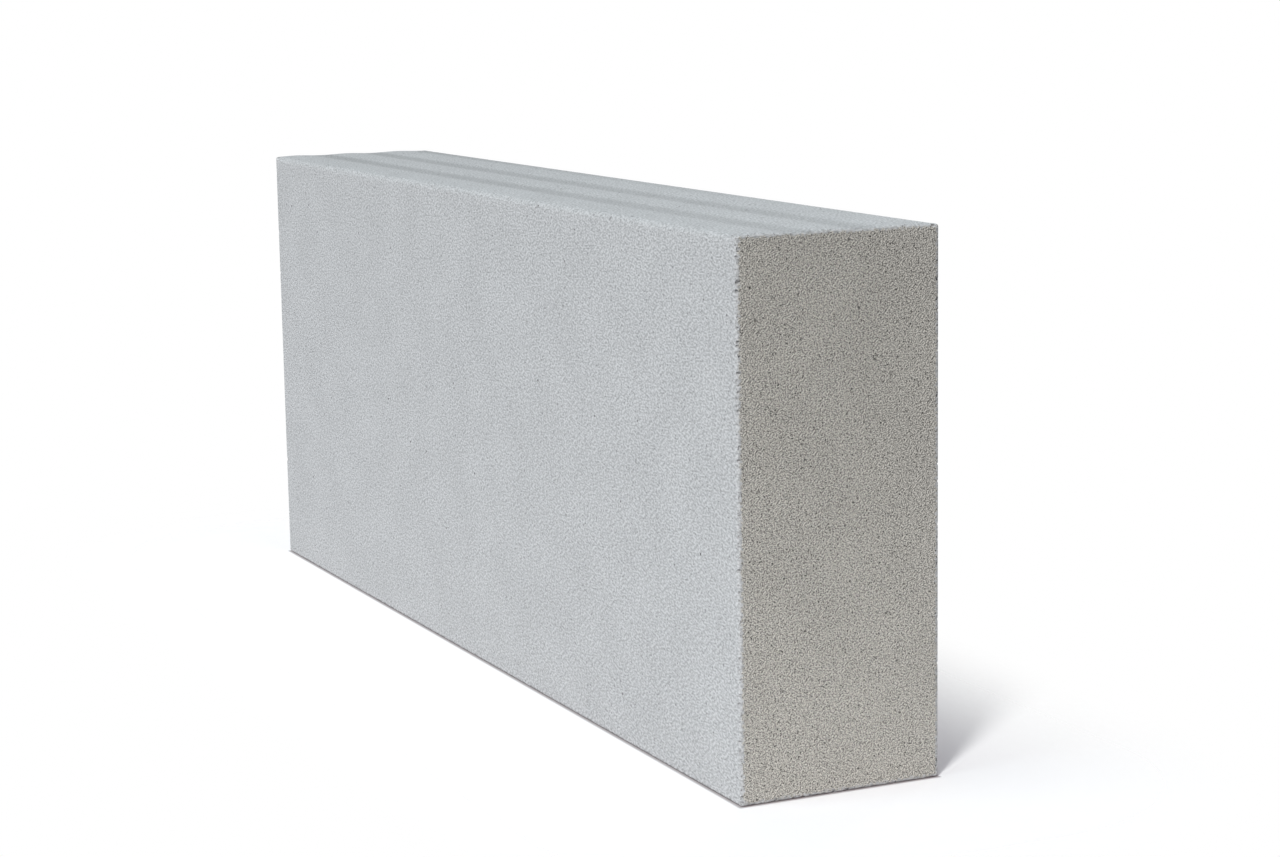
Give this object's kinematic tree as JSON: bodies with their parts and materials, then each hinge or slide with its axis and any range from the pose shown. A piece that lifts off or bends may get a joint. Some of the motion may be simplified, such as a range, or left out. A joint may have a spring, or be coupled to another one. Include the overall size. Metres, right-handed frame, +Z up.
{
  "type": "aerated concrete block",
  "caption": "Long rectangular aerated concrete masonry block with shallow waves along its top bed, laid in walls with thin-bed mortar.",
  "frame": {"origin": "middle of the footprint, on the surface that the block stands on", "axes": "+X along the length, +Y from the front face to the back face across the thickness, +Z up to the waved bed"},
  "size_m": [0.625, 0.1, 0.25],
  "materials": {
    "aerated_concrete": "pale grey, matt and open-pored, smoother on the big faces and with more open pores on the sawn ends"
  },
  "bodies": {
    "root": {"block": "aerated_concrete"}
  },
  "joints": []
}
